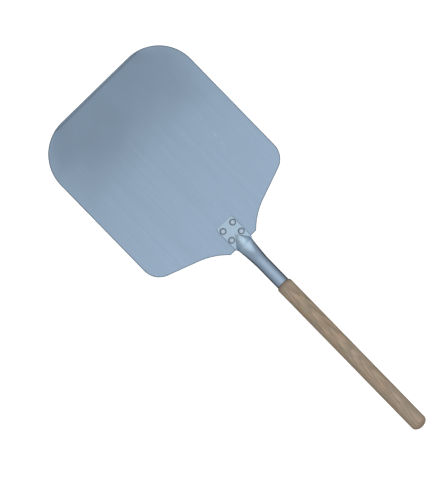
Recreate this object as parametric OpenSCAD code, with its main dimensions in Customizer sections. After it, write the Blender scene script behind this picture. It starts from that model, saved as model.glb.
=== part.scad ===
// Pizza peel: a flat sheet blade, a flattened tube riveted on it as a socket, and a turned wooden handle.
//
// X runs from the blade towards the handle's end, Y is across the blade and Z is up.
// The origin is the middle of the blade's underside, which is the face that the peel lies on.

/* [Blade] */
// Width across the blade
blade_w = 305; // [240:1:420]
// Length from the front lip to the neck's edge
blade_len = 358; // [280:1:480]
// Thickness of the blade's sheet
sheet_t = 1.6; // [1.2:0.1:3]
// Radius of the two front corners
front_corner_r = 75; // [30:1:100]
// Radius of the two rear corners
rear_corner_r = 35; // [20:1:60]
// Width of the neck's straight edge
neck_w = 60; // [46:1:76]
// Radius of the hollow curve from the neck to the shoulder
neck_curve_r = 120; // [60:1:150]
// Angle between the neck's curve and the handle's line where the curve leaves the neck
neck_flare = 44; // [35:1:55]
// Angle between the shoulder and a line straight across the blade
shoulder_slope = 20; // [10:1:30]
// Length of the bevel ground on top of the front lip
lip_bevel_len = 3; // [1:0.5:8]
// Thickness left at the front lip
lip_t = 0.8; // [0.5:0.1:1]

/* [Socket tube] */
// Outside diameter of the tube
tube_d = 24; // [20:0.5:30]
// Wall of the tube
tube_wall = 1.5; // [1:0.1:2]
// Length of the flattened end that lies on the blade
flange_len = 47; // [42:1:60]
// Radius of the flattened end's two front corners
flange_corner_r = 3; // [2:0.5:8]
// Length of the raised tongue on the flattened end, ahead of the neck's edge
tongue_len = 22; // [16:1:26]
// Length behind the neck's edge over which the tube grows fully round
rounding_len = 48; // [36:1:60]
// Length of the tube behind the neck's edge
tube_len = 97; // [80:1:140]
// Angle at which the tube and the handle rise behind the blade
rise_angle = 6; // [0:1:12]

/* [Rivets] */
// Diameter of the rivets' shanks
rivet_d = 4.8; // [3.2:0.1:5.2]
// Diameter of the domed heads
rivet_head_d = 11.5; // [8:0.1:12]
// Height of the domed heads
rivet_head_h = 2.2; // [1.2:0.1:3]
// Diameter of the flattened tail under the blade
rivet_tail_d = 7.2; // [6:0.1:8]
// Depth of the countersink that the tail fills
rivet_tail_h = 1.1; // [0.6:0.1:1.1]
// Distance from the flattened end's front edge to the front pair of rivets
rivet_front_edge = 9.4; // [7:0.1:12]
// Distance from the flattened end's side edges to the rivets
rivet_side_edge = 7.2; // [6:0.1:8]
// Distance from the neck's edge to the rear pair of rivets
rivet_setback = 16.8; // [15:0.1:20]

/* [Handle] */
// Diameter of the grip
grip_d = 29; // [26:0.5:36]
// Length of the handle behind the tube
grip_len = 335; // [120:1:700]
// Length of the bevelled shoulder at the tube
shoulder_len = 3.4; // [1:0.1:8]
// Length of the domed end
dome_len = 10.3; // [5:0.1:14]

/* [Screw] */
// Diameter of the screw's shank
screw_d = 3.5; // [2.5:0.1:4.5]
// Diameter of the screw's countersunk head
screw_head_d = 6.6; // [5:0.1:8]
// Length of the screw with its head
screw_len = 16; // [10:1:18]
// Distance from the tube's rear end to the screw
screw_setback = 12; // [8:1:20]

/* [Fits] */
// Gap all round a rivet's shank and tail
rivet_gap = 0.05; // [0.02:0.01:0.1]
// Gap all round the tenon in the tube
tenon_gap = 0.1; // [0.05:0.01:0.2]
// Gap between the tenon's tip and the place where the bore stops being round
tenon_tip_gap = 1; // [0:0.5:15]
// Gap all round the screw
screw_gap = 0.05; // [0.02:0.01:0.1]

/* [Hidden] */

$fn = 96;
// Length that a cutting shape runs past the face it cuts.
past = 1;

neck_x = blade_len / 2;
tube_r = tube_d / 2;
bore_r = tube_r - tube_wall;
// The flattened end is two walls thick, and its width keeps the tube's own girth.
flange_t = 2 * tube_wall;
flange_half_w = PI * (tube_d - tube_wall) / 4 + tube_wall / 2;

function polar(r, angle) = [r * cos(angle), r * sin(angle)];
function smooth(t) = let (u = min(1, max(0, t))) u * u * (3 - 2 * u);

// ---------------------------------------------------------------------------------------------- blade

// One side of the outline, as distances ahead of the neck's edge and out from the middle line. Each hollow or
// round stretch is an arc that starts and ends in line with its neighbours.
neck_corner = [0, neck_w / 2];
shoulder_angle = 90 - shoulder_slope;
neck_curve_c = neck_corner + polar(neck_curve_r, 90 + neck_flare);
neck_curve_end = neck_curve_c + polar(neck_curve_r, shoulder_angle - 90);
rear_corner_start_y = blade_w / 2 - rear_corner_r * (1 - cos(shoulder_angle));
shoulder_run = (rear_corner_start_y - neck_curve_end.y) / sin(shoulder_angle);
rear_corner_start = neck_curve_end + polar(shoulder_run, shoulder_angle);
rear_corner_c = rear_corner_start + polar(rear_corner_r, shoulder_angle - 90);
front_corner_c = [blade_len - front_corner_r, blade_w / 2 - front_corner_r];

side_points = [
    neck_corner,
    neck_curve_end,
    rear_corner_start,
    rear_corner_c,
    [rear_corner_c.x, blade_w / 2],
    [front_corner_c.x, blade_w / 2],
    front_corner_c,
    [blade_len, front_corner_c.y]
];

// Puts a point of the outline on the left side (-1) or the right side (1), seen from the handle.
function on_side(p, side) = [neck_x - p.x, side * p.y];

module outline() {
    difference() {
        union() {
            polygon(concat(
                [for (p = side_points) on_side(p, 1)],
                [for (i = [len(side_points) - 1:-1:0]) on_side(side_points[i], -1)]
            ));
            for (side = [-1, 1]) {
                translate(on_side(rear_corner_c, side)) circle(r = rear_corner_r);
                translate(on_side(front_corner_c, side)) circle(r = front_corner_r);
            }
        }
        for (side = [-1, 1])
            translate(on_side(neck_curve_c, side)) circle(r = neck_curve_r);
    }
}

// The bevel along the front lip, ground off straight across the top of the sheet.
module lip_cut() {
    slope = (sheet_t - lip_t) / lip_bevel_len;
    translate([-blade_len / 2, blade_w / 2 + past, 0])
        rotate([90, 0, 0])
            linear_extrude(blade_w + 2 * past)
                polygon([
                    [-past, lip_t - slope * past],
                    [lip_bevel_len + past, sheet_t + slope * past],
                    [-past, sheet_t + slope * past]
                ]);
}

// The countersunk holes through the blade and the flattened end.
module rivet_holes() {
    slope = (rivet_tail_d - rivet_d) / 2 / rivet_tail_h;
    hole_r = rivet_d / 2 + rivet_gap;
    top = sheet_t + flange_t + past;
    for (place = RIVETS)
        translate([place.x, place.y, 0])
            rotate_extrude()
                polygon([
                    [0, -past],
                    [hole_r + slope * (rivet_tail_h + past), -past],
                    [hole_r, rivet_tail_h],
                    [hole_r, top],
                    [0, top]
                ]);
}

module blade() {
    color([0.59, 0.68, 0.76])
        difference() {
            linear_extrude(sheet_t) outline();
            lip_cut();
            rivet_holes();
        }
}

// ---------------------------------------------------------------------------------------- socket tube

// Stands its children on the tube's true centre line, with their Z along it towards the handle. Distances run
// from the neck's edge, where the underside of the tube leaves the blade and starts to rise.
module on_tube_axis(distance) {
    translate([neck_x, 0, sheet_t])
        rotate([0, -rise_angle, 0])
            translate([distance, 0, tube_r])
                rotate([0, 90, 0])
                    children();
}

// The flattened end and the stretch where it grows round are one shell, carried through cross-sections. Each
// stands at a distance u behind the neck's edge. Angles go round a section: -90 is below, 0 is at the side and
// 90 is on top. Up to fold_angle lies the rounded fold, and up to wing_angle the flat wing beside the tongue.
fold_angle = 8;
wing_angle = 24;
// Half width of the tongue at its blunt tip.
tongue_tip_w = 2;
// Power that makes the tongue full in the middle and steep where it meets the wings.
tongue_fullness = 0.8;
// Distance behind the neck's edge at which the wings have gone, and the length over which they fade.
wing_end = 7;
wing_fade = 9.6;
// Length over which the sections lean over to stand square to the rising tube.
lean_start = -6;
lean_len = 18;
// The shell ends inside the wall of the plain tube: its overlap, and how far it stays under both surfaces.
seam_len = 4;
seam_inset = 0.1;
// Where the hollow starts behind the tongue's tip.
hollow_lead = 5;

// How far the tube has opened: 0 at the tongue's tip, 1 where it is round.
function opened(u) = min(1, max(0, (u + tongue_len) / (tongue_len + rounding_len)));
// Height of a section. It leaves the flat without a kink and settles into the full diameter.
function section_h(u) = let (q = opened(u)) tube_d - (tube_d - flange_t) * pow(1 - q, 3) * (1 + 3 * q);
function section_half_w(u) = tube_r + (flange_half_w - tube_r) * pow(1 - opened(u), 1.3);
// Half width of the tongue's foot, a V with slightly hollow sides that reaches the full section at the neck.
function tongue_half_w(u) =
    max(tongue_tip_w, section_half_w(0) * pow(max(0, 1 + u / tongue_len), 1.15));

// Distance out from the middle line to the rivets, and the room that a head takes all round.
rivet_y = flange_half_w - rivet_side_edge;
head_room = rivet_head_d / 2 + 0.15;
// Whether a head at that distance ahead of the neck's edge clears the tongue.
function clears_tongue(ahead) =
    rivet_y >= max([for (t = [-1:0.125:1]) tongue_half_w(t * head_room - ahead) + head_room * sqrt(1 - t * t)]);
// The rear rivets move ahead where their heads would touch the tongue.
rear_setback = min([for (ahead = [rivet_setback:0.1:tongue_len + rivet_head_d]) if (clears_tongue(ahead)) ahead]);
// Places of the four rivets, in the order of their nodes: the front pair first, and of each pair the left one.
RIVETS = [
    for (ahead = [flange_len - rivet_front_edge, rear_setback])
        for (side = [-1, 1])
            [neck_x - ahead, side * rivet_y]
];

// Half width of the flattened end, rounded at its two front corners.
function flat_half_w(u) =
    let (d = min(flange_corner_r, u + flange_len))
        flange_half_w - flange_corner_r + sqrt(pow(flange_corner_r, 2) - pow(flange_corner_r - d, 2));
function winged(u) = 1 - smooth(1 + (u - wing_end) / wing_fade);
// How far a section at u stays under the plain tube's surfaces.
function inset(u) = u > rounding_len ? seam_inset : 0;

// Outside of the section while it is flat, as [out from the middle, up from the blade].
function flat_point(u, a) =
    let (fold_y = flat_half_w(u) - tube_wall, foot = min(tongue_half_w(u), fold_y - tube_wall))
        a <= -fold_angle ? [fold_y * (90 + a) / (90 - fold_angle), 0] :
        a < fold_angle ? [fold_y, tube_wall] + polar(tube_wall, 90 * a / fold_angle) :
        a < wing_angle ? [fold_y + (foot - fold_y) * (a - fold_angle) / (wing_angle - fold_angle), flange_t] :
        let (t = (90 - a) / (90 - wing_angle))
            [foot * t, flange_t + (section_h(u) - flange_t) * pow(1 - t * t, tongue_fullness)];
function open_point(u, a, in) =
    let (half_h = section_h(u) / 2)
        [(section_half_w(u) - in) * cos(a), half_h + (half_h - in) * sin(a)];
function outer_point(u, a) = winged(u) * flat_point(u, a) + (1 - winged(u)) * open_point(u, a, inset(u));

// Inside of the section, one wall in. Under the tongue the lower wall lies flat on the blade.
function hollow_flat_point(u, a) =
    let (foot = min(tongue_half_w(u) - tube_wall / 3, flange_half_w - flange_t), t = 1 - abs(a) / 90)
        [foot * t, tube_wall + (a > 0 ? (section_h(u) - flange_t) * pow(1 - t * t, tongue_fullness) : 0)];
function inner_point(u, a) =
    winged(u) * hollow_flat_point(u, a) + (1 - winged(u)) * open_point(u, a, tube_wall - inset(u));

// Puts a section's point in the model's frame. Behind the neck's edge the underside rises at rise_angle.
function placed(u, p) =
    let (lean = rise_angle * smooth((u - lean_start) / lean_len), run = u <= 0 ? [u, 0] : polar(u, rise_angle))
        [neck_x + run.x - p.y * sin(lean), p.x, sheet_t + run.y + p.y * cos(lean)];

// Angles of a ring's points up one side, from the bottom to the top.
SIDE_ANGLES = [
    for (i = [0:5]) -90 + i * (90 - fold_angle) / 6,
    for (i = [0:3]) -fold_angle + i * fold_angle / 2,
    for (i = [0:2]) fold_angle + i * (wing_angle - fold_angle) / 3,
    for (i = [0:9]) wing_angle + i * (90 - wing_angle) / 9
];
ring_n = 2 * len(SIDE_ANGLES) - 2;

// Closes one side's points into a ring with their mirror images.
function ring(side) = concat(side, [for (i = [len(side) - 2:-1:1]) [side[i].x, -side[i].y, side[i].z]]);

// Sections round the front corners and at the tongue's tip, and then those that are hollow.
FRONT_STATIONS = [
    for (t = [0:22.5:90]) flange_corner_r * (1 - cos(t)) - flange_len,
    -tongue_len
];
HOLLOW_STATIONS = [
    for (i = [0:9]) hollow_lead - tongue_len + i * (wing_end + tongue_len - hollow_lead) / 10,
    for (i = [0:10]) wing_end + i * (rounding_len - wing_end) / 10,
    rounding_len + seam_len / 4,
    rounding_len + seam_len
];
OUTER_STATIONS = concat(FRONT_STATIONS, HOLLOW_STATIONS);

// Two triangles for each step along and round, between rings that follow each other from point number first.
function skin(first, rings, step) = [
    for (i = [0:rings - 2], j = [0:ring_n - 1])
        let (a = first + i * step + j, b = first + i * step + (j + 1) % ring_n)
            each [[a, b, b + step], [a, b + step, a + step]]
];
// Triangles from a middle point to a ring that starts at point number first.
function cap(middle, first) = [for (j = [0:ring_n - 1]) [middle, first + j, first + (j + 1) % ring_n]];
function turned(faces) = [for (face = faces) [for (i = [len(face) - 1:-1:0]) face[i]]];

module opened_tube() {
    outer_n = len(OUTER_STATIONS) * ring_n;
    inner_n = len(HOLLOW_STATIONS) * ring_n;
    hollow_start = HOLLOW_STATIONS[0];
    points = concat(
        [for (u = OUTER_STATIONS) each ring([for (a = SIDE_ANGLES) placed(u, outer_point(u, a))])],
        [for (u = HOLLOW_STATIONS) each ring([for (a = SIDE_ANGLES) placed(u, inner_point(u, a))])],
        [placed(-flange_len, [0, flange_t / 2]), placed(hollow_start, [0, section_h(hollow_start) / 2])]
    );
    faces = concat(
        cap(outer_n + inner_n, 0),
        turned(skin(0, len(OUTER_STATIONS), ring_n)),
        turned(cap(outer_n + inner_n + 1, outer_n)),
        skin(outer_n, len(HOLLOW_STATIONS), ring_n),
        turned(skin(outer_n - ring_n, 2, inner_n))
    );
    polyhedron(points, faces);
}

module socket_tube() {
    color([0.62, 0.69, 0.75])
        difference() {
            union() {
                opened_tube();
                on_tube_axis(rounding_len + seam_len / 2)
                    difference() {
                        cylinder(r = tube_r, h = tube_len - rounding_len - seam_len / 2);
                        translate([0, 0, -past]) cylinder(r = bore_r, h = tube_len);
                    }
            }
            rivet_holes();
            screw_place() screw_body(screw_gap, -past);
        }
}

// --------------------------------------------------------------------------------------------- rivets

// One rivet, with its tail in the blade's countersink and its domed head on the flange.
module rivet(place) {
    dome_r = (pow(rivet_head_d / 2, 2) + pow(rivet_head_h, 2)) / (2 * rivet_head_h);
    color([0.66, 0.72, 0.77])
        translate([place.x, place.y, 0]) {
            cylinder(d1 = rivet_tail_d, d2 = rivet_d, h = rivet_tail_h);
            cylinder(d = rivet_d, h = sheet_t + flange_t + rivet_head_h / 2);
            translate([0, 0, sheet_t + flange_t])
                intersection() {
                    translate([0, 0, rivet_head_h - dome_r]) sphere(r = dome_r);
                    translate([-rivet_head_d, -rivet_head_d, 0])
                        cube([2 * rivet_head_d, 2 * rivet_head_d, 2 * rivet_head_h]);
                }
        }
}

// --------------------------------------------------------------------------------------------- handle

module handle() {
    tenon_r = bore_r - tenon_gap;
    tenon_len = tube_len - rounding_len - seam_len - tenon_tip_gap;
    // Bevel that leads the tenon into the tube.
    lead_in = 1.5;
    grip_r = grip_d / 2;
    dome = [for (t = [0:5:85]) [grip_r * cos(t), grip_len - dome_len + dome_len * sin(t)]];
    color([0.66, 0.60, 0.51])
        difference() {
            on_tube_axis(tube_len)
                rotate_extrude()
                    polygon(concat(
                        [
                            [0, -tenon_len],
                            [tenon_r - lead_in, -tenon_len],
                            [tenon_r, lead_in - tenon_len],
                            [tenon_r, 0],
                            [tube_r, 0],
                            [grip_r, shoulder_len]
                        ],
                        dome,
                        [[0, grip_len]]
                    ));
            screw_place() screw_body(screw_gap, -past);
        }
}

// ---------------------------------------------------------------------------------------------- screw

screw_head_h = (screw_head_d - screw_d) / 2;
// Thin straight rim of the head, which stands out of the countersink.
screw_rim = 0.2;
// Length of the screw's point.
screw_point_len = 4;

// Under the tube, with Z from the screw's head up through the wall and the tenon.
module screw_place() {
    on_tube_axis(tube_len - screw_setback)
        translate([tube_r, 0, 0])
            rotate([0, -90, 0])
                children();
}

// The screw's outline turned about its axis, with a gap added all round it. Its head starts at the height start.
module screw_body(gap, start) {
    rotate_extrude()
        polygon([
            [0, start],
            [screw_head_d / 2 + gap, start],
            [screw_head_d / 2 + gap, 0],
            [screw_d / 2 + gap, screw_head_h],
            [screw_d / 2 + gap, screw_len - screw_point_len],
            [0, screw_len + gap]
        ]);
}

module handle_screw() {
    // Cross-shaped recess for the screwdriver: length and width of its slots, and their depth.
    slot = [4, 0.8, 1.1];
    color([0.55, 0.56, 0.58])
        screw_place()
            difference() {
                screw_body(0, -screw_rim);
                for (turn = [0, 90])
                    rotate(turn)
                        translate([-slot.x / 2, -slot.y / 2, -past])
                            cube([slot.x, slot.y, slot.z + past]);
            }
}

blade();
socket_tube();
for (i = [0:len(RIVETS) - 1])
    rivet(RIVETS[i]);
handle();
handle_screw();
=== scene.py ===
"""A pizza peel: a satin sheet blade, a tube socket riveted on it and a turned wooden handle.

X runs from the blade towards the handle's end, Y is across the blade, Z is up, and the blade lies on Z = 0.
"""
import math

import bmesh
import bpy
import numpy as np
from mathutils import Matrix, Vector
from mathutils.geometry import delaunay_2d_cdt


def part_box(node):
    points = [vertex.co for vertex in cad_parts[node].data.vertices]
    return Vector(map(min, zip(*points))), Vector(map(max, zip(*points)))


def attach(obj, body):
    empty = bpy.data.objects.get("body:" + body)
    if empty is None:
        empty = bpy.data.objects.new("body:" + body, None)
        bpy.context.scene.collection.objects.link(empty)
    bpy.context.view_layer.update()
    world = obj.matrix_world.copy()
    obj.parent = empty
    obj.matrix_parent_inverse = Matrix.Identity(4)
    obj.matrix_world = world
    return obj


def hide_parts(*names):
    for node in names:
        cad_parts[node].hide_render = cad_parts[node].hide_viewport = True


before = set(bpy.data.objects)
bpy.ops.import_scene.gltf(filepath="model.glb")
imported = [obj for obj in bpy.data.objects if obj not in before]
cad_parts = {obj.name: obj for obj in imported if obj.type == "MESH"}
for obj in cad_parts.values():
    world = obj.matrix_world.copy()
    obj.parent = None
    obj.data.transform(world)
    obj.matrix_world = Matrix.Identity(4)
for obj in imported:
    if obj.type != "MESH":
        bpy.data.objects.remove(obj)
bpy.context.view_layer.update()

MM = 0.001

# ---------------------------------------------------------------------------------------------- sizes

BLADE_LOW, BLADE_HIGH = (np.array(corner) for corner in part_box("blade"))
SOCKET_LOW, SOCKET_HIGH = (np.array(corner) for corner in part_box("socket_tube"))
RIVETS = [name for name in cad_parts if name.startswith("rivet_")]

SHEET_T = BLADE_HIGH[2]
BLADE_LEN = BLADE_HIGH[0] - BLADE_LOW[0]
HALF_BLADE_W = BLADE_HIGH[1]
NECK_X = BLADE_HIGH[0]
FRONT_CORNER_R = 75 * MM
REAR_CORNER_R = 35 * MM
HALF_NECK_W = 30 * MM
NECK_CURVE_R = 120 * MM
NECK_FLARE = math.radians(44)
SHOULDER_ANGLE = math.radians(70)
LIP_BEVEL = 3 * MM
LIP_T = 0.8 * MM
LINE_AHEAD = 1.5 * MM
LINE_BEHIND = 4 * MM
UNDER_ROLL = 0.22 * MM
TOP_ROLL = 1.7 * MM
TOP_ROLL_H = 0.6 * MM
EDGE_INSET = 2.4 * MM
RIM_W = 2.3 * MM

TUBE_R = 12 * MM
WALL = 1.5 * MM
FLANGE_LEN = NECK_X - SOCKET_LOW[0]
FLANGE_HALF_W = SOCKET_HIGH[1]
FLANGE_T = 2 * WALL
FLANGE_CORNER_R = 3 * MM
TONGUE_LEN = 22 * MM
TONGUE_TIP_W = 2 * MM
TONGUE_FULLNESS = 0.8
ROUNDING_LEN = 48 * MM
TUBE_LEN = 97 * MM
WING_END = 7 * MM
WING_FADE = 9.6 * MM
FOLD_ANGLE = 8.0
WING_ANGLE = 24.0
LEAN_START = -6 * MM
LEAN_LEN = 18 * MM
END_CHAMFER = 0.35 * MM
RISE = math.radians(6)

GRIP_R = 14.5 * MM
GRIP_LEN = 335 * MM
SHOULDER_LEN = 3.4 * MM
DOME_LEN = 10.3 * MM
TENON_R = 10.4 * MM
TENON_LEN = 44 * MM

RIVET_R = 2.4 * MM
RIVET_TAIL_R = 3.6 * MM
RIVET_TAIL_H = 1.1 * MM
RIVET_HEAD_R = 5.75 * MM
RIVET_HEAD_H = 2.2 * MM
RIVET_GAP = 0.05 * MM
HEAD_POWER = 2.3
BEATEN_SHARE = 0.93
BEATEN_SLOPE = 0.06
BEATEN_TURN = 2.4

SCREW_R = 1.75 * MM
SCREW_HEAD_R = 3.3 * MM
SCREW_RIM = 0.2 * MM
SCREW_LEN = 16 * MM
SCREW_POINT_LEN = 4 * MM
SCREW_SETBACK = 12 * MM
SCREW_GAP = 0.05 * MM
THREAD_PITCH = 1.2 * MM
THREAD_DEPTH = 0.38 * MM
SLOT_HALF_W = 0.45 * MM
SLOT_HALF_LEN = 2.1 * MM
SLOT_DEPTH = 1.1 * MM

# ------------------------------------------------------------------------------------- mesh by arrays


def smooth_step(t):
    """0 below 0, 1 above 1, and between them three t squared less two t cubed."""
    t = np.clip(t, 0.0, 1.0)
    return t * t * (3 - 2 * t)


def arc(centre, radius, start, end, count):
    """Points at equal angles on a circle, from the angle start to the angle end."""
    angle = np.linspace(start, end, count)
    return np.stack([centre[0] + radius * np.cos(angle), centre[1] + radius * np.sin(angle)], axis=1)


def quads(rows, cols, first=0):
    """Faces of a grid of rows that each close round on themselves, numbered from the vertex first."""
    row, col = np.meshgrid(np.arange(rows - 1), np.arange(cols), indexing="ij")
    a = first + row * cols + col
    b = first + row * cols + (col + 1) % cols
    return np.stack([a, b, b + cols, a + cols], axis=-1).reshape(-1, 4)


def fan(pole, first, cols, outward):
    """Triangles from the vertex pole to the row that starts at the vertex first."""
    col = np.arange(cols)
    ends = [first + (col + 1) % cols, first + col]
    if outward:
        ends.reverse()
    return np.stack([np.full(cols, pole), *ends], axis=1)


class Mesh:
    """Collects grids of points and their faces, and makes one object of them."""

    def __init__(self):
        self.points = []
        self.faces = []
        self.count = 0
        self.attributes = {}

    def add_points(self, points, **values):
        """Adds an array of points with one value of each named attribute for each of them."""
        points = np.asarray(points, float).reshape(-1, 3)
        first = self.count
        self.points.append(points)
        self.count += len(points)
        for name, value in values.items():
            whole = np.broadcast_to(np.asarray(value, float).reshape(-1), (len(points),))
            self.attributes.setdefault(name, []).append(whole)
        return first

    def add_rings(self, rings, close_start=False, close_end=False, **values):
        """Adds rings of points, an array of rows by columns by 3, and closes an end with a fan to its
        middle.
        """
        rings = np.asarray(rings, float)
        rows, cols = rings.shape[:2]
        first = self.add_points(rings, **values)
        self.faces += quads(rows, cols, first).tolist()
        for wanted, row, outward in ((close_start, 0, False), (close_end, rows - 1, True)):
            if wanted:
                ends = {name: np.broadcast_to(np.asarray(v, float), rings.shape[:2])[row].mean()
                        for name, v in values.items()}
                pole = self.add_points(rings[row].mean(axis=0), **ends)
                self.faces += fan(pole, first + row * cols, cols, outward).tolist()
        return first

    def face_outwards(self):
        """Turns all the faces over if the signed volume under them is negative.

        The volume is the sum, over the triangles of each face's corner fan, of a triple product over six.
        """
        points = np.concatenate(self.points)
        total = 0.0
        for size in (3, 4):
            faces = np.array([face for face in self.faces if len(face) == size]).reshape(-1, size)
            for i in range(1, size - 1):
                a, b, c = points[faces[:, 0]], points[faces[:, i]], points[faces[:, i + 1]]
                total += np.einsum("ij,ij->", a, np.cross(b, c)) / 6
        if total < 0:
            self.faces = [face[::-1] for face in self.faces]

    def object(self, name, material, node_names, slot):
        """Makes the object, smooth but for edges sharper than 40 degrees, and puts it in the place of its
        nodes.
        """
        mesh = bpy.data.meshes.new(name)
        mesh.from_pydata(np.concatenate(self.points), [], self.faces)
        for key, parts in self.attributes.items():
            layer = mesh.attributes.new(key, "FLOAT", "POINT")
            layer.data.foreach_set("value", np.concatenate(parts).astype(np.float32))
        work = bmesh.new()
        work.from_mesh(mesh)
        bmesh.ops.remove_doubles(work, verts=work.verts, dist=0.001 * MM)
        work.to_mesh(mesh)
        work.free()
        mesh.shade_smooth()
        mesh.set_sharp_from_angle(angle=math.radians(40))
        mesh.materials.append(material)
        piece = bpy.data.objects.new(name, mesh)
        bpy.context.scene.collection.objects.link(piece)
        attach(piece, "root")
        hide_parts(*node_names)
        return piece


def on_tube(points):
    """Takes points given as (along the tube, out to the side, up from its underside) to their places.

    The underside leaves the blade's top at the neck and rises at the angle RISE.
    """
    along, side, up = np.moveaxis(points, -1, 0)
    x = NECK_X + along * math.cos(RISE) - up * math.sin(RISE)
    z = SHEET_T + along * math.sin(RISE) + up * math.cos(RISE)
    return np.stack([x, side, z], axis=-1)


def turned(profile, count):
    """Turns a profile of (height, radius) about an upright axis, counter-clockwise seen from above."""
    angle = np.linspace(0, 2 * math.pi, count, endpoint=False)
    height, radius = profile[:, :1], profile[:, 1:]
    height = np.broadcast_to(height, (len(profile), count))
    return np.stack([radius * np.cos(angle), radius * np.sin(angle), height], axis=-1)


# ---------------------------------------------------------------------------------------------- blade


HOLE_SIDES = 40
CREASE_POINTS = 60


def blade_side():
    """One side of the outline as (distance ahead of the neck's edge, distance out from the middle line).

    A hollow arc leaves the neck's corner at the flare angle, a straight shoulder runs on from it, a round
    corner turns to the straight side, and the front corner turns to the straight front.
    """
    corner = np.array([0, HALF_NECK_W])
    away = math.pi / 2 + NECK_FLARE
    curve_c = corner + NECK_CURVE_R * np.array([math.cos(away), math.sin(away)])
    neck = arc(curve_c, NECK_CURVE_R, away - math.pi, SHOULDER_ANGLE - math.pi / 2, 28)
    turn_y = HALF_BLADE_W - REAR_CORNER_R * (1 - math.cos(SHOULDER_ANGLE))
    run = (turn_y - neck[-1, 1]) / math.sin(SHOULDER_ANGLE)
    turn = neck[-1] + run * np.array([math.cos(SHOULDER_ANGLE), math.sin(SHOULDER_ANGLE)])
    rear_c = turn + REAR_CORNER_R * np.array([math.sin(SHOULDER_ANGLE), -math.cos(SHOULDER_ANGLE)])
    rear = arc(rear_c, REAR_CORNER_R, SHOULDER_ANGLE + math.pi / 2, math.pi / 2, 26)
    front_c = np.array([BLADE_LEN - FRONT_CORNER_R, HALF_BLADE_W - FRONT_CORNER_R])
    front = arc(front_c, FRONT_CORNER_R, math.pi / 2, 0, 56)
    shoulder = np.linspace(neck[-1], turn, 22)[1:-1]
    side = np.linspace(rear[-1], front[0], 50)[1:-1]
    return np.concatenate([neck, shoulder, rear, side, front])


def blade_outline():
    """The whole outline as (x, y), counter-clockwise seen from above, with its normals, which point
    outwards.
    """
    side = blade_side()
    front = np.linspace(side[-1], side[-1] * [1, -1], 34)[1:-1]
    neck = np.linspace(side[0] * [1, -1], side[0], 16)[1:-1]
    loop = np.concatenate([side, front, side[::-1] * [1, -1], neck])
    loop = np.stack([NECK_X - loop[:, 0], loop[:, 1]], axis=1)
    along = np.roll(loop, -1, axis=0) - np.roll(loop, 1, axis=0)
    normal = np.stack([along[:, 1], -along[:, 0]], axis=1)
    return loop, normal / np.linalg.norm(normal, axis=1, keepdims=True)


def rivet_centres():
    """Middle of each rivet as (x, y), from its CAD box."""
    corners = np.array([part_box(name) for name in RIVETS])
    return corners.mean(axis=1)[:, :2]


def lip_height(x, z):
    """Height of the sheet's top where the front lip is ground off: it falls in a straight line to the edge.
    """
    slope = (SHEET_T - LIP_T) / LIP_BEVEL
    return np.minimum(z, LIP_T + (x - BLADE_LOW[0]) * slope)


def fill(points, outside, holes, crease):
    """Triangles inside a closed loop of points, the first outside ones, and outside the round holes in it.

    Each hole is (x, y, radius), with its points given too, in the same order after the loop's.
    """
    edges = []
    first = 0
    for size in [outside] + [HOLE_SIDES] * len(holes):
        index = np.arange(size) + first
        edges += np.stack([index, np.roll(index, -1)], axis=1).tolist()
        first += size
    made = delaunay_2d_cdt([tuple(p) for p in points.tolist()], edges + crease, [], 1, 1e-7)
    corners = np.array([tuple(p) for p in made[0]])
    faces = np.array(made[2])
    middles = corners[faces].mean(axis=1)
    away = np.linalg.norm(middles[:, None] - holes[None, :, :2], axis=2)
    return corners, faces[(away > holes[:, 2]).all(axis=1)]


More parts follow.
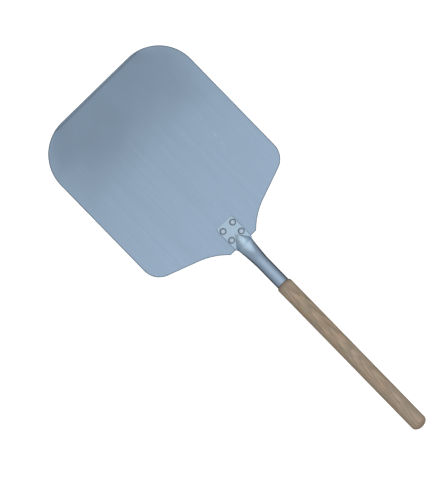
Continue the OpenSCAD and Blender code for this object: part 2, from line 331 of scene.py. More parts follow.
def blade_mesh():
    """The sheet: a profile of (distance in, height) carried round the outline, closed by a flat top and
    underside.

    The profile rolls over softly at the top edge, as a sheared and deburred sheet does, and is broken only
    a little at the underside. The rim attribute is 1 at the edge and 0 on the flat.
    """
    loop, normal = blade_outline()
    roll = np.linspace(0, math.pi / 2, 7)
    profile = np.concatenate([
        [[EDGE_INSET, 0], [0.5 * MM, 0]],
        UNDER_ROLL * np.stack([1 - np.sin(roll), 1 - np.cos(roll)], axis=1),
        np.stack([TOP_ROLL * (1 - np.cos(roll)), SHEET_T - TOP_ROLL_H * (1 - np.sin(roll))], axis=1),
        [[EDGE_INSET, SHEET_T]],
    ])
    inward = profile[:, None, :1]
    x_y = loop[None] - inward * normal[None]
    z = np.broadcast_to(profile[:, None, 1:], x_y.shape[:2] + (1,))
    rings = np.concatenate([x_y, z], axis=-1)
    rings[..., 2] = lip_height(rings[..., 0], rings[..., 2])
    made = Mesh()
    # Painted shade: rim is 1 at the edge and fades over RIM_W, and the material darkens the sheet there.
    rim = np.broadcast_to(1 - smooth_step(profile[:, :1] / RIM_W), rings.shape[:2])
    made.add_rings(rings, rim=rim)
    # A crease keeps the bevel's top edge straight. It ends just inside the outline, so that it never cuts it.
    crease_x = BLADE_LOW[0] + LIP_BEVEL
    lip_y = rings[-1, rings[-1, :, 0] < crease_x, 1]
    crease_y = np.linspace(lip_y.min(), lip_y.max(), CREASE_POINTS)
    turns = np.linspace(0, 2 * math.pi, HOLE_SIDES, endpoint=False)
    centres = rivet_centres()
    for ring, radius, top in ((0, RIVET_TAIL_R + RIVET_GAP, False), (-1, RIVET_R + RIVET_GAP, True)):
        circles = centres[:, None] + radius * np.stack([np.cos(turns), np.sin(turns)], axis=1)[None]
        flat = np.concatenate([rings[ring, :, :2], circles.reshape(-1, 2)])
        crease = []
        if top:
            first = len(flat)
            flat = np.concatenate([flat, np.stack([np.full(CREASE_POINTS, crease_x), crease_y], axis=1)])
            crease = [[first + i, first + i + 1] for i in range(CREASE_POINTS - 1)]
        holes = np.column_stack([centres, np.full(len(centres), radius)])
        points, faces = fill(flat, len(loop), holes, crease)
        whole = np.column_stack([points, np.full(len(points), SHEET_T if top else 0.0)])
        whole[:, 2] = lip_height(whole[:, 0], whole[:, 2])
        first = made.add_points(whole, rim=0)
        made.faces += (first + (faces if top else faces[:, ::-1])).tolist()
    steps = np.array([[0.0, RIVET_TAIL_R], [RIVET_TAIL_H, RIVET_R], [SHEET_T, RIVET_R]]) + [0, RIVET_GAP]
    for x, y in centres:
        made.add_rings(turned(steps[::-1], HOLE_SIDES) + [x, y, 0], rim=0)
    return made


# --------------------------------------------------------------------------------------------- socket


def opened(u):
    """How far the tube has opened at the distance u behind the neck: 0 at the tongue's tip, 1 where it is
    round.
    """
    return np.clip((u + TONGUE_LEN) / (TONGUE_LEN + ROUNDING_LEN), 0, 1)


def section_h(u):
    """Height of a section: the full diameter less what is left of (1 - q) cubed times (1 + 3 q)."""
    q = opened(u)
    return 2 * TUBE_R - (2 * TUBE_R - FLANGE_T) * (1 - q) ** 3 * (1 + 3 * q)


def section_half_w(u):
    """Half width of a section: the flange's at the tongue's tip, and the tube's radius where it is round."""
    return TUBE_R + (FLANGE_HALF_W - TUBE_R) * (1 - opened(u)) ** 1.3


def tongue_half_w(u):
    """Half width of the tongue's foot: a V with slightly hollow sides that reaches the full section at the
    neck.
    """
    return np.maximum(TONGUE_TIP_W, section_half_w(0) * np.maximum(0, 1 + u / TONGUE_LEN) ** 1.15)


def flat_half_w(u):
    """Half width of the flattened end, which has a quarter circle at each front corner."""
    d = np.minimum(FLANGE_CORNER_R, u + FLANGE_LEN)
    corner = np.sqrt(np.maximum(0, FLANGE_CORNER_R**2 - (FLANGE_CORNER_R - d) ** 2))
    return FLANGE_HALF_W - FLANGE_CORNER_R + corner


def flat_section(u, a):
    """Outside of a flat section as (out, up): underside, half-round fold, wing, and the tongue's rise.

    Angles go from -90 under the middle to 90 on top of it. The fold takes those within FOLD_ANGLE of 0, the
    wing those up to WING_ANGLE, and the tongue rises as a power of 1 - t squared, where t falls from 1 at
    its foot to 0 in the middle.
    """
    fold, wing = FOLD_ANGLE, WING_ANGLE
    fold_y = flat_half_w(u) - WALL
    foot = np.minimum(tongue_half_w(u), fold_y - WALL)
    t = np.clip((90 - a) / (90 - wing), 0, 1)
    turn = np.radians(90 * np.clip(a / fold, -1, 1))
    out = np.select(
        [a <= -fold, a < fold, a < wing],
        [fold_y * (90 + a) / (90 - fold), fold_y + WALL * np.cos(turn),
         fold_y + (foot - fold_y) * (a - fold) / (wing - fold)],
        foot * t,
    )
    up = np.select(
        [a <= -fold, a < fold, a < wing],
        [0 * a * u, WALL + WALL * np.sin(turn), FLANGE_T + 0 * a * u],
        FLANGE_T + (section_h(u) - FLANGE_T) * np.maximum(0, 1 - t * t) ** TONGUE_FULLNESS,
    )
    return out, up


def hollow_section(u, a):
    """Inside of a flat section: the tongue's shape, one wall in, over a flat floor."""
    foot = np.minimum(tongue_half_w(u) - WALL / 3, FLANGE_HALF_W - FLANGE_T)
    t = 1 - np.abs(a) / 90
    rise = (section_h(u) - FLANGE_T) * np.maximum(0, 1 - t * t) ** TONGUE_FULLNESS
    return foot * t, WALL + np.where(a > 0, rise, 0)


def section(u, a, wall, shape):
    """A section as (out, up): the flat one fades into an ellipse, one wall in where wall isn't 0."""
    wings = 1 - smooth_step(1 + (u - WING_END) / WING_FADE)
    out, up = shape(u, a)
    half_h = section_h(u) / 2
    turn = np.radians(a)
    round_out = (section_half_w(u) - wall) * np.cos(turn)
    round_up = half_h + (half_h - wall) * np.sin(turn)
    return wings * out + (1 - wings) * round_out, wings * up + (1 - wings) * round_up


def stand(u, out, up):
    """Puts a section's point at the distance u in the row frame.

    The sections stay square to the blade ahead of the neck, and lean back to stand square to the rising tube.
    """
    lean = RISE * smooth_step((u - LEAN_START) / LEAN_LEN)
    rise = np.where(u > 0, RISE, 0)
    x = NECK_X + u * np.cos(rise) - up * np.sin(lean)
    z = SHEET_T + u * np.sin(rise) + up * np.cos(lean)
    return np.stack([x, out + 0 * x, z], axis=-1)


def closed_rings(u, a, wall, shape):
    """Rings of sections at the distances u: up the right side by the angles a, and back down the left side.
    """
    u, a = np.meshgrid(u, a, indexing="ij")
    out, up = section(u, a, wall, shape)
    right = stand(u, out, up)
    left = right[:, -2:0:-1] * [1, -1, 1]
    return np.concatenate([right, left], axis=1)


def socket_mesh():
    """The tube: rings along its outside, round its rear end, and back along its inside.

    The screw's countersunk hole is let into the underside: the cells round it are taken out of the grid and
    bridged to the curve where its cone meets the tube. The rivets' holes aren't cut here, since the heads
    and the blade cover them.
    """
    angles = np.concatenate([
        np.linspace(-90, -FOLD_ANGLE, 16, endpoint=False),
        np.linspace(-FOLD_ANGLE, FOLD_ANGLE, 12, endpoint=False),
        np.linspace(FOLD_ANGLE, WING_ANGLE, 12, endpoint=False),
        np.linspace(WING_ANGLE, 90, 34),
    ])
    turn = np.linspace(0, math.pi / 2, 9)
    corner = FLANGE_CORNER_R * (1 - np.cos(turn)) - FLANGE_LEN
    outer = np.concatenate([
        corner, np.linspace(corner[-1], -TONGUE_LEN - 2 * MM, 8)[1:],
        np.linspace(-TONGUE_LEN - 2 * MM, 17 * MM, 64)[1:], np.linspace(17 * MM, 50 * MM, 34)[1:],
        np.linspace(50 * MM, TUBE_LEN - END_CHAMFER, 40)[1:],
    ])
    inner = np.concatenate([
        np.linspace(TUBE_LEN - END_CHAMFER, ROUNDING_LEN, 20),
        np.linspace(ROUNDING_LEN, 5 * MM - TONGUE_LEN, 60)[1:],
    ])
    whole = [
        closed_rings(outer, angles, 0, flat_section),
        closed_rings(np.array([TUBE_LEN]), angles, END_CHAMFER, flat_section),
        closed_rings(np.array([TUBE_LEN]), angles, WALL - END_CHAMFER, flat_section),
        closed_rings(inner, angles, WALL, hollow_section),
    ]
    rings = np.concatenate(whole)
    rows, cols = rings.shape[:2]
    along = np.concatenate([outer, [TUBE_LEN, TUBE_LEN], inner])
    made = Mesh()
    # The rim attribute marks the tube's rear end: worn chips, and painted shade by the handle's shoulder from
    # the material's edge factor.
    rim = np.zeros((rows, cols))
    rim[len(outer) - 1:len(outer) + 2] = 1
    # pressed brightens the flattened end and the tongue: rubbed metal, and a painted highlight on the
    # tongue's rise.
    pressed = np.broadcast_to(0.8 * (1 - smooth_step((along - 2 * MM) / (30 * MM)))[:, None], (rows, cols))
    made.add_rings(rings, rim=rim, pressed=pressed)
    poles = [made.add_points(rings[row].mean(axis=0), rim=0, pressed=0) for row in (0, rows - 1)]
    made.faces += fan(poles[0], 0, cols, False).tolist()
    made.faces += fan(poles[1], (rows - 1) * cols, cols, True).tolist()
    screw_hole(made, outer, rings, cols)
    made.face_outwards()
    return made


def screw_hole(made, outer, rings, cols):
    """Bridges a square of the tube's cells to the screw's countersink.

    Round the hole the cone's radius r meets the tube where head radius - r = tube radius - root(tube radius
    squared - (r sin) squared), which a few rounds of substitution solve. The hole is closed at the cone's
    foot, where the screw covers it.
    """
    centre = TUBE_LEN - SCREW_SETBACK
    half = SCREW_HEAD_R + 1.6 * MM
    rows = np.flatnonzero(np.abs(outer - centre) < half)
    top, low = rows[0], rows[-1]
    side = int(np.ceil(half / np.linalg.norm(rings[top, 1] - rings[top, 0])))
    right, left = np.arange(0, side + 1), np.arange(cols - side, cols)
    across = np.concatenate([left, right])
    loop = np.concatenate([
        top * cols + across[:-1], np.arange(top, low) * cols + across[-1],
        low * cols + across[:0:-1], np.arange(low, top, -1) * cols + across[0],
    ])
    taken = set((np.arange(top, low)[:, None] * cols + across[None, :-1]).ravel().tolist())
    made.faces = [face for face in made.faces if not (len(face) == 4 and face[0] in taken)]
    flat = rings.reshape(-1, 3)[loop]
    axis = np.array([math.cos(RISE), 0, math.sin(RISE)])
    down = np.array([math.sin(RISE), 0, -math.cos(RISE)])
    middle = np.array([NECK_X, 0, SHEET_T]) + centre * axis - TUBE_R * down
    offset = flat - middle
    run, out = offset @ axis, offset[:, 1]
    turn = np.arctan2(out, run)
    rim_r = SCREW_HEAD_R + SCREW_GAP
    r = np.full(len(turn), rim_r)
    for _ in range(12):
        r = rim_r - (TUBE_R - np.sqrt(TUBE_R**2 - (r * np.sin(turn)) ** 2))
    hole = np.stack([r * np.cos(turn), r * np.sin(turn)], axis=1)
    depth = TUBE_R - (rim_r - r)
    start = np.stack([run, out], axis=1)
    grid = [start + (hole - start) * t for t in (0.5, 0.85)]
    levels = [np.sqrt(TUBE_R**2 - g[:, 1] ** 2) for g in grid]
    small = SCREW_R + SCREW_GAP
    grid += [hole, small * np.stack([np.cos(turn), np.sin(turn)], axis=1)]
    levels += [depth, np.full(len(turn), TUBE_R - (rim_r - small))]
    places = np.stack([middle + g[:, :1] * axis + level[:, None] * down + g[:, 1:] * [0, 1, 0]
                       for g, level in zip(grid, levels)])
    count = len(loop)
    first = made.add_points(places, rim=0, pressed=0)
    table = np.concatenate([loop[None], first + np.arange(4 * count).reshape(4, count)])
    following = np.roll(table, -1, axis=1)
    cells = np.stack([table[:-1], table[1:], following[1:], following[:-1]], axis=-1).reshape(-1, 4)
    pole = made.add_points(places[-1].mean(axis=0), rim=0, pressed=0)
    last = table[-1]
    made.faces += cells[:, ::-1].tolist()
    made.faces += np.stack([np.full(count, pole), np.roll(last, -1), last], axis=1)[:, ::-1].tolist()


# --------------------------------------------------------------------------------------------- rivets


def rivet_mesh(x, y, number):
    """One rivet: a profile turned about its own axis, from the flush tail up to the top of the domed head.

    Across the head, the height is the head's height times the p-th root of one less (r over the head's
    radius) to the power p, so its flank is steep and its top low. The top is beaten a little flat, off
    centre.
    """
    seat = SHEET_T + FLANGE_T
    turn = np.linspace(0, math.pi / 2, 40)[:-1]
    out = RIVET_HEAD_R * np.cos(turn) ** (2 / HEAD_POWER)
    dome_h = seat + RIVET_HEAD_H * np.sin(turn) ** (2 / HEAD_POWER)
    profile = np.concatenate([
        [[0.0, 0.4 * RIVET_TAIL_R], [0.0, RIVET_TAIL_R - 0.1 * MM], [0.08 * MM, RIVET_TAIL_R - 0.1 * MM],
         [RIVET_TAIL_H, RIVET_R], [seat, RIVET_R], [seat, RIVET_HEAD_R - 0.3 * MM]],
        np.stack([dome_h, out], axis=1),
    ])
    rings = turned(profile, 72)
    lean = BEATEN_TURN * number
    across = rings[..., 0] * math.cos(lean) + rings[..., 1] * math.sin(lean)
    beaten = seat + RIVET_HEAD_H * BEATEN_SHARE + BEATEN_SLOPE * across
    soft = 0.12 * MM
    over = rings[..., 2] - beaten
    bent = np.where(over > -soft, (over + soft) ** 2 / (4 * soft), 0)
    rings[..., 2] -= np.where(over < soft, bent, over)
    made = Mesh()
    # The rim attribute marks the head's flank, which the material darkens as painted shade, with worn chips.
    foot = smooth_step((profile[:, 1:] / RIVET_HEAD_R - 0.5) / 0.4) * (profile[:, :1] >= seat)
    rim = np.broadcast_to(foot, rings.shape[:2])
    made.add_rings(rings + [x, y, 0], close_start=True, close_end=True, rim=rim)
    return made


# --------------------------------------------------------------------------------------------- handle


def handle_mesh():
    """The turned handle: a profile of (distance, radius) carried round the rising axis.

    A bevelled tenon runs into the tube, a shoulder opens from the tube's radius to the grip's, and the far
    end is half an ellipse. The grip's radius dips by up to a tenth of a millimetre along and round it. The
    screw's hole isn't cut here, since the tube covers it.
    """
    turn = np.linspace(0, math.pi / 2, 34)
    ease = np.linspace(0, 1, 12)
    grip = np.linspace(SHOULDER_LEN + 1.2 * MM, GRIP_LEN - DOME_LEN, 150)
    soft = 0.5 * MM
    shoulder = np.stack([soft + (SHOULDER_LEN + 1.2 * MM - soft) * ease,
                         TUBE_R + (GRIP_R - TUBE_R) * np.sin(ease * math.pi / 2) ** 0.9], axis=1)
    profile = np.concatenate([
        [[-TENON_LEN, TENON_R - 1.5 * MM], [1.5 * MM - TENON_LEN, TENON_R], [0, TENON_R],
         [0, TUBE_R - soft], [0.15 * MM, TUBE_R - 0.15 * MM]],
        shoulder,
        np.stack([grip[1:], np.full(149, GRIP_R)], axis=1),
        np.stack([GRIP_LEN - DOME_LEN + DOME_LEN * np.sin(turn[1:-1]), GRIP_R * np.cos(turn[1:-1])], axis=1),
    ])
    around = np.linspace(0, 2 * math.pi, 144, endpoint=False)
    run, radius = profile[:, :1], profile[:, 1:]
    dips = 0.5 + 0.25 * np.sin(2 * around + 31 * run) + 0.25 * np.sin(3 * around - 53 * run + 1)
    radius = radius - 0.1 * MM * dips * smooth_step(run / (12 * MM))
    rings = on_tube(np.stack([TUBE_LEN + run + 0 * radius, radius * np.sin(around),
                              TUBE_R + radius * np.cos(around)], axis=-1))
    poles = on_tube(np.array([[TUBE_LEN - TENON_LEN, 0, TUBE_R], [TUBE_LEN + GRIP_LEN, 0, TUBE_R]]))
    made = Mesh()
    rows, cols = rings.shape[:2]
    at_end = smooth_step((run - (GRIP_LEN - DOME_LEN)) / DOME_LEN)
    # Painted shade: 1 up to 1 mm behind the tube's end and fading out by 10 mm, where the material darkens
    # the wood.
    at_joint = 1 - smooth_step((run - 1 * MM) / (9 * MM))
    shape = (rows, cols)
    made.add_rings(rings, tip=np.broadcast_to(at_end, shape), joint=np.broadcast_to(at_joint, shape))
    made.add_points(poles, tip=[0, 1], joint=[1, 0])
    made.faces += fan(rows * cols, 0, cols, False).tolist()
    made.faces += fan(rows * cols + 1, (rows - 1) * cols, cols, True).tolist()
    made.face_outwards()
    return made


# ---------------------------------------------------------------------------------------------- screw


def screw_mesh():
    """The countersunk screw under the tube: a disc with a cross-shaped recess, its cone, and a threaded
    shank.

    The disc is a grid of radius by angle, sunk by the larger of two slots' depths, and each slot's depth
    falls from its floor to its rim over a short wall. The thread is a triangle wave of height less angle.
    """
    cols = 96
    around = np.linspace(0, 2 * math.pi, cols, endpoint=False)
    r = np.linspace(0.12, SCREW_HEAD_R / MM - 0.08, 40)[:, None] * MM
    x, y = r * np.cos(around), r * np.sin(around)
    sunk = np.zeros_like(x)
    for along, across in ((x, y), (y, x)):
        wall = np.clip((SLOT_HALF_W - np.abs(across)) / (0.14 * MM), 0, 1)
        sunk = np.maximum(sunk, wall * np.clip((SLOT_HALF_LEN - np.abs(along)) / (0.7 * MM), 0, 1))
    face = np.stack([x, y, SLOT_DEPTH * sunk - SCREW_RIM], axis=-1)
    head_h = SCREW_HEAD_R - SCREW_R
    z = np.linspace(head_h + 0.6 * MM, SCREW_LEN - 0.05 * MM, 110)[:, None]
    taper = np.clip((SCREW_LEN - z) / SCREW_POINT_LEN, 0, 1)
    wave = np.abs((z / THREAD_PITCH - around / (2 * math.pi)) % 1 - 0.5) * 2
    thread_r = (SCREW_R - THREAD_DEPTH * wave) * taper + 0.03 * MM * (1 - taper)
    shank = np.stack([thread_r * np.cos(around), thread_r * np.sin(around), z + 0 * around], axis=-1)
    cone = turned(np.array([[0.08 * MM - SCREW_RIM, SCREW_HEAD_R], [0.0, SCREW_HEAD_R], [head_h, SCREW_R],
                            [head_h + 0.3 * MM, SCREW_R]]), cols)
    rings = np.concatenate([face, cone, shank])
    axis = np.array([math.cos(RISE), 0, math.sin(RISE)])
    up = np.array([-math.sin(RISE), 0, math.cos(RISE)])
    start = np.array([NECK_X, 0, SHEET_T]) + (TUBE_LEN - SCREW_SETBACK) * axis
    placed = start + rings[..., :1] * axis + rings[..., 1:2] * [0, 1, 0] + rings[..., 2:] * up
    made = Mesh()
    made.add_rings(placed, close_start=True, close_end=True, rim=0)
    made.face_outwards()
    return made


# ------------------------------------------------------------------------------------------ materials


class Nodes:
    """Adds nodes to a tree. An input is given as a socket to link or as a value to set."""

    def __init__(self, tree):
        self.tree = tree

    def add(self, kind, inputs=(), out=0, **settings):
        node = self.tree.nodes.new(kind)
        for key, value in settings.items():
            setattr(node, key, value)
        self.feed(node, dict(inputs))
        return node.outputs[out]

    def feed(self, node, inputs):
        for key, value in inputs.items():
            if isinstance(value, bpy.types.NodeSocket):
                self.tree.links.new(value, node.inputs[key])
            else:
                node.inputs[key].default_value = value

    def math(self, operation, a, b=0.0, clamp=False):
        return self.add("ShaderNodeMath", {0: a, 1: b}, operation=operation, use_clamp=clamp)

    def remap(self, value, low, high, to_low=0.0, to_high=1.0):
        ends = {"Value": value, "From Min": low, "From Max": high, "To Min": to_low, "To Max": to_high}
        return self.add("ShaderNodeMapRange", ends, clamp=True)

    def noise(self, vector, scale, detail=2.0, roughness=0.5, distortion=0.0):
        values = {"Vector": vector, "Scale": scale, "Detail": detail, "Roughness": roughness,
                  "Distortion": distortion}
        return self.add("ShaderNodeTexNoise", values)

    def stretch(self, vector, by):
        return self.add("ShaderNodeVectorMath", {0: vector, 1: by}, operation="MULTIPLY")

    def mix(self, factor, a, b):
        return self.add("ShaderNodeMix", {0: factor, 6: a, 7: b}, out=2, data_type="RGBA")

    def ramp(self, value, stops):
        node = self.add("ShaderNodeValToRGB", {"Fac": value}).node
        ramp = node.color_ramp
        while len(ramp.elements) < len(stops):
            ramp.elements.new(1.0)
        for element, (place, colour) in zip(ramp.elements, stops):
            element.position = place
            element.color = (*colour, 1.0)
        return node.outputs[0]

    def attribute(self, name):
        return self.add("ShaderNodeAttribute", out="Fac", attribute_name=name)

    def object_space(self, turn=(0, 0, 0), move=(0, 0, 0)):
        place = self.add("ShaderNodeTexCoord", out="Object")
        return self.add("ShaderNodeMapping", {"Vector": place, "Rotation": turn, "Location": move})

    def group(self, made, inputs):
        node = self.tree.nodes.new("ShaderNodeGroup")
        node.node_tree = made
        self.feed(node, inputs)
        return node.outputs


def new_group(name, inputs, outputs):
    """An empty node group with its named sockets, and its input and output nodes."""
    tree = bpy.data.node_groups.new(name, "ShaderNodeTree")
    for key, kind in inputs:
        tree.interface.new_socket(key, in_out="INPUT", socket_type=kind)
    for key in outputs:
        tree.interface.new_socket(key, in_out="OUTPUT", socket_type="NodeSocketFloat")
    return tree, tree.nodes.new("NodeGroupInput").outputs, tree.nodes.new("NodeGroupOutput").inputs


def metal_surface_group():
    """Marks that all the metal shares, as masks.

    Lines: fine drawn lines, noise squeezed across them. Cloud: slow patches of handling marks. Scratches:
    thin curves where a slow noise crosses its middle, broken up by another. Worn: the rim, broken up by
    noise.
    """
    tree, given, made = new_group(
        "metal surface",
        [("Vector", "NodeSocketVector"), ("Squeeze", "NodeSocketVector"), ("Rim", "NodeSocketFloat")],
        ["Lines", "Cloud", "Scratches", "Worn"],
    )
    n = Nodes(tree)
    squeezed = n.stretch(given["Vector"], given["Squeeze"])
    coarse = n.noise(squeezed, 260.0, 3.0, 0.6)
    fine = n.noise(squeezed, 1100.0, 2.0, 0.6)
    lines = n.math("ADD", n.math("MULTIPLY", coarse, 0.6), n.math("MULTIPLY", fine, 0.4))
    tree.links.new(lines, made["Lines"])
    cloud = n.noise(given["Vector"], 14.0, 4.0, 0.55, 0.4)
    tree.links.new(n.remap(cloud, 0.3, 0.7), made["Cloud"])
    level = n.noise(n.stretch(squeezed, (0.5, 0.5, 0.5)), 22.0, 1.0, 0.4, 0.2)
    near = n.remap(n.math("ABSOLUTE", n.math("SUBTRACT", level, 0.5)), 0.0, 0.0035, 1.0, 0.0)
    broken = n.remap(n.noise(given["Vector"], 60.0, 2.0), 0.55, 0.7)
    tree.links.new(n.math("MULTIPLY", near, broken), made["Scratches"])
    chips = n.remap(n.noise(given["Vector"], 420.0, 3.0, 0.6), 0.35, 0.65)
    tree.links.new(n.math("MULTIPLY", given["Rim"], chips), made["Worn"])
    return tree


def grime_group():
    """Dirt that gathers in specks and in slow patches: Specks and Patches, each 0 to 1."""
    tree, given, made = new_group(
        "grime", [("Vector", "NodeSocketVector"), ("Scale", "NodeSocketFloat")], ["Specks", "Patches"])
    n = Nodes(tree)
    dots = n.noise(given["Vector"], n.math("MULTIPLY", given["Scale"], 30.0), 3.0, 0.7)
    tree.links.new(n.remap(dots, 0.62, 0.74), made["Specks"])
    slow = n.noise(given["Vector"], n.math("MULTIPLY", given["Scale"], 2.0), 4.0, 0.6, 0.6)
    tree.links.new(n.remap(slow, 0.35, 0.75), made["Patches"])
    return tree


METAL_SURFACE = metal_surface_group()
GRIME = grime_group()


def bevel_crease_shade(n, place):
    """A mask of painted shade along the top of the front bevel, where the crease turns from the light.

    It rises straight over LINE_AHEAD and fades straight over LINE_BEHIND.
    """
    x = n.add("ShaderNodeSeparateXYZ", {"Vector": place}, out="X")
    top = BLADE_LOW[0] + LIP_BEVEL
    return n.math("MULTIPLY", n.remap(x, top - LINE_AHEAD, top), n.remap(x, top, top + LINE_BEHIND, 1.0, 0.0))


def metal(name, colour, roughness, squeeze, bump, turn=(0, 0, 0), cloud=0.06, edge=0.8, pressed=1, line=1):
    """A satin metal: its colour and roughness vary with the drawn lines, the handling marks and the worn
    rim, and its colour carries painted shade and a painted highlight as well.

    Along the rim the colour goes to edge times itself as painted shade, with bright worn chips in it.
    Over the pressed end and the tongue it goes to pressed times its colour, as rubbed metal and a painted
    highlight. Along the top of the blade's ground bevel it goes to line times its colour, a painted shade.
    """
    material = bpy.data.materials.new(name)
    material.use_nodes = True
    n = Nodes(material.node_tree)
    shader = n.tree.nodes["Principled BSDF"]
    place = n.object_space(turn)
    marks = n.group(METAL_SURFACE, {"Vector": place, "Squeeze": squeeze, "Rim": n.attribute("rim")})
    dirt = n.group(GRIME, {"Vector": place, "Scale": 12.0})
    colour = np.array(colour)
    shade = n.mix(marks["Cloud"], (*(colour * (1 - cloud)), 1), (*(colour * (1 + cloud)), 1))
    shade = n.mix(n.remap(marks["Lines"], 0.3, 0.7, 0, 0.16), shade, (*(colour * 0.6), 1))
    shade = n.mix(n.math("MULTIPLY", marks["Scratches"], 0.3), shade, (*np.minimum(1, colour * 1.5), 1))
    shade = n.mix(n.math("MULTIPLY", dirt["Specks"], 0.12), shade, (0.12, 0.11, 0.10, 1))
    # Rubbed metal and a painted highlight over the pressed end and the tongue.
    if pressed != 1:
        shade = n.mix(n.attribute("pressed"), shade, (*(colour * pressed * [1, 1.02, 0.96]), 1))
    # Painted shade along the top of the front bevel.
    if line != 1:
        shade = n.mix(bevel_crease_shade(n, place), shade, (*(colour * line), 1))
    # Painted shade along the rim: the colour goes to edge times itself where the rim attribute is 1.
    shade = n.mix(n.attribute("rim"), shade, (*(colour * edge), 1))
    shade = n.mix(n.math("MULTIPLY", marks["Worn"], 0.3), shade, (*np.minimum(1, colour * 1.2), 1))
    rough = n.math("ADD", n.remap(marks["Lines"], 0.25, 0.75, roughness - 0.05, roughness + 0.05),
                   n.remap(marks["Cloud"], 0, 1, -0.03, 0.03))
    rough = n.math("SUBTRACT", rough, n.math("MULTIPLY", marks["Worn"], 0.12), clamp=True)
    height = n.math("ADD", marks["Lines"], n.math("MULTIPLY", marks["Scratches"], -0.5))
    bumps = {"Height": height, "Strength": bump, "Distance": 0.02 * MM}
    normal = n.add("ShaderNodeBump", bumps, out="Normal")
    for key, value in (("Base Color", shade), ("Roughness", rough), ("Normal", normal)):
        n.tree.links.new(value, shader.inputs[key])
    shader.inputs["Metallic"].default_value = 1.0
    return material


def wood():
    """Turned wood from near the side of a log.

    Growth rings are the fractional part of the distance from the pith, bent by noise that is stretched
    along the grain. Pores are short dark dashes, and handling has greyed the surface in patches.
    """
    material = bpy.data.materials.new("turned_wood")
    material.use_nodes = True
    n = Nodes(material.node_tree)
    shader = n.tree.nodes["Principled BSDF"]
    origin = (-(NECK_X * math.cos(RISE) + SHEET_T * math.sin(RISE)), 0,
              NECK_X * math.sin(RISE) - SHEET_T * math.cos(RISE) - TUBE_R)
    place = n.object_space((0, RISE, 0), origin)
    bend = n.noise(n.stretch(place, (0.12, 1, 1)), 45.0, 3.0, 0.55)
    parts = n.add("ShaderNodeSeparateXYZ", {"Vector": place}).node.outputs
    side = n.math("ADD", n.math("MULTIPLY", parts["X"], 0.015), n.math("ADD", parts["Y"], 0.004))
    up = n.math("ADD", n.math("MULTIPLY", parts["X"], 0.05), n.math("ADD", parts["Z"], 0.012))
    from_pith = n.add("ShaderNodeCombineXYZ", {"X": side, "Y": up})
    away = n.add("ShaderNodeVectorMath", {0: from_pith}, out="Value", operation="LENGTH")
    rings = n.math("ADD", n.math("MULTIPLY", away, 420.0), n.math("MULTIPLY", bend, 4.2))
    saw = n.math("FRACT", rings)
    late = n.math("MULTIPLY", n.remap(saw, 0.25, 0.85), n.remap(saw, 0.9, 1.0, 1.0, 0.0))
    streak = n.noise(n.stretch(place, (0.05, 1, 1)), 520.0, 5.0, 0.72)
    tint = n.noise(n.stretch(place, (0.16, 1, 1)), 190.0, 4.0, 0.65)
    pores = n.remap(n.noise(n.stretch(place, (0.035, 1, 1)), 1500.0, 2.0, 0.5), 0.56, 0.68)
    base = n.ramp(tint, [(0.34, (0.44, 0.40, 0.25)), (0.43, (0.56, 0.44, 0.29)), (0.51, (0.67, 0.46, 0.33)),
                         (0.58, (0.57, 0.43, 0.27)), (0.67, (0.56, 0.52, 0.46))])
    shade = n.mix(n.math("MULTIPLY", late, 0.62), base, (0.32, 0.225, 0.155, 1))
    shade = n.mix(n.remap(streak, 0.44, 0.6, 0.0, 0.55), shade, (0.31, 0.235, 0.165, 1))
    shade = n.mix(n.math("MULTIPLY", pores, 0.5), shade, (0.10, 0.07, 0.05, 1))
    dirt = n.group(GRIME, {"Vector": place, "Scale": 16.0})
    shade = n.mix(n.math("MULTIPLY", dirt["Patches"], 0.22), shade, (0.55, 0.53, 0.48, 1))
    shade = n.mix(n.math("MULTIPLY", dirt["Specks"], 0.25), shade, (0.05, 0.045, 0.04, 1))
    # Painted shade on the wood just behind the tube's end.
    shade = n.mix(n.math("MULTIPLY", n.attribute("joint"), 0.45), shade, (0.06, 0.05, 0.04, 1))
    shade = n.mix(n.math("MULTIPLY", n.attribute("tip"), 0.35), shade, (0.30, 0.17, 0.12, 1))
    rough = n.remap(streak, 0.3, 0.7, 0.5, 0.68)
    height = n.math("SUBTRACT", n.math("MULTIPLY", streak, 0.7), n.math("ADD", n.math("MULTIPLY", pores, 0.8),
                                                                     n.math("MULTIPLY", late, 0.25)))
    normal = n.add("ShaderNodeBump", {"Height": height, "Strength": 0.5, "Distance": 0.12 * MM}, out="Normal")
    for key, value in (("Base Color", shade), ("Roughness", rough), ("Normal", normal)):
        n.tree.links.new(value, shader.inputs[key])
    return material


# --------------------------------------------------------------------------------------------- pieces

# The sheet's edge=0.2 paints shade along its rim, and line=0.64 paints shade along the top of the front
# bevel.
SHEET = metal("satin_sheet", (0.40, 0.525, 0.675), 0.33, (0.02, 1.0, 1.0), 0.25,
              cloud=0.025, edge=0.2, line=0.64)
# pressed=1.12 brightens the flattened end and tongue, partly as a painted highlight; the default edge=0.8
# paints shade at the tube's rear end.
TUBE = metal("drawn_tube", (0.455, 0.58, 0.735), 0.36, (0.03, 1.0, 1.0), 0.3, turn=(0, RISE, 0), pressed=1.12)
# edge=0.12 paints dark shade on the rivet heads' flanks.
RIVET = metal("rivet_metal", (0.52, 0.64, 0.75), 0.3, (1.0, 1.0, 1.0), 0.35, edge=0.12)
STEEL = metal("screw_steel", (0.50, 0.51, 0.53), 0.3, (1.0, 1.0, 1.0), 0.2)

blade_mesh().object("blade_sheet", SHEET, ["blade"], "blade_sheet")
socket_mesh().object("socket", TUBE, ["socket_tube"], "tube_metal")
for number, (rivet_name, centre) in enumerate(zip(RIVETS, rivet_centres())):
    rivet_mesh(*centre, number + 1).object(f"{rivet_name}_domed", RIVET, [rivet_name], "rivet_metal")
handle_mesh().object("handle_turned", wood(), ["handle"], "handle_wood")
screw_mesh().object("screw_countersunk", STEEL, ["handle_screw"], "screw_steel")

# -------------------------------------------------------------------------------------- floor, lights


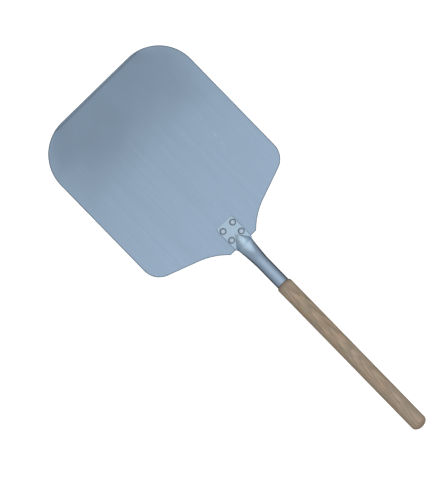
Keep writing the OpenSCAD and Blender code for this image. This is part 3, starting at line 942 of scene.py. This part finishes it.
def make_floor():
    """A plain near-white floor that carries only a faint shadow."""
    size = 6.0
    mesh = bpy.data.meshes.new("floor")
    corners = [(-size, -size, -MM), (size, -size, -MM), (size, size, -MM), (-size, size, -MM)]
    mesh.from_pydata(corners, [], [(0, 1, 2, 3)])
    floor = bpy.data.objects.new("floor", mesh)
    bpy.context.scene.collection.objects.link(floor)
    material = bpy.data.materials.new("floor_white")
    material.use_nodes = True
    shader = material.node_tree.nodes["Principled BSDF"]
    shader.inputs["Base Color"].default_value = (0.9, 0.9, 0.9, 1)
    shader.inputs["Roughness"].default_value = 0.9
    shader.inputs["Specular IOR Level"].default_value = 0.0
    shader.inputs["Emission Color"].default_value = (1, 1, 1, 1)
    shader.inputs["Emission Strength"].default_value = 0.75
    mesh.materials.append(material)
    floor.visible_glossy = False
    floor.visible_diffuse = False


def area_light(name, place, target, size, power):
    """A soft rectangular light at place that faces target."""
    data = bpy.data.lights.new(name, "AREA")
    data.shape = "RECTANGLE"
    data.size, data.size_y = size
    data.energy = power
    light = bpy.data.objects.new(name, data)
    light.location = place
    towards = Vector(target) - Vector(place)
    light.rotation_euler = towards.to_track_quat("-Z", "Y").to_euler()
    light.visible_camera = False
    bpy.context.scene.collection.objects.link(light)


make_floor()
area_light("overhead", (0.86, 0.28, 1.1), (0.86, 0.28, 0), (2.0, 2.0), 5.2)
area_light("front", (-1.55, 0.4, 1.0), (0.2, 0, 0), (1.8, 1.15), 5.0)

# A soft grey room: even above the horizon, and dark below it.
world = bpy.data.worlds.new("studio")
world.use_nodes = True
room = Nodes(world.node_tree)
facing = room.add("ShaderNodeTexCoord", out="Generated")
height = room.add("ShaderNodeSeparateXYZ", {"Vector": facing}, out="Z")
backdrop = world.node_tree.nodes["Background"]
backdrop.inputs["Color"].default_value = (0.95, 0.98, 1.0, 1)
world.node_tree.links.new(room.remap(height, -0.45, 0.1, 0.05, 0.48), backdrop.inputs["Strength"])
bpy.context.scene.world = world
bpy.context.scene.view_settings.view_transform = "Standard"

# --------------------------------------------------------------------------------------------- camera

VIEW_TURN = math.radians(45.77)
VIEW_HEIGHT = 0.840
VIEW_CENTRE = (NECK_X - 0.017, -0.0348)
DISTANCE = 9.3

camera_data = bpy.data.cameras.new("camera")
camera_data.lens = camera_data.sensor_width * DISTANCE / VIEW_HEIGHT
camera_data.clip_end = 50
camera = bpy.data.objects.new("camera", camera_data)
camera.location = (*VIEW_CENTRE, DISTANCE)
camera.rotation_euler = (0, 0, VIEW_TURN)
bpy.context.scene.collection.objects.link(camera)
bpy.context.scene.camera = camera
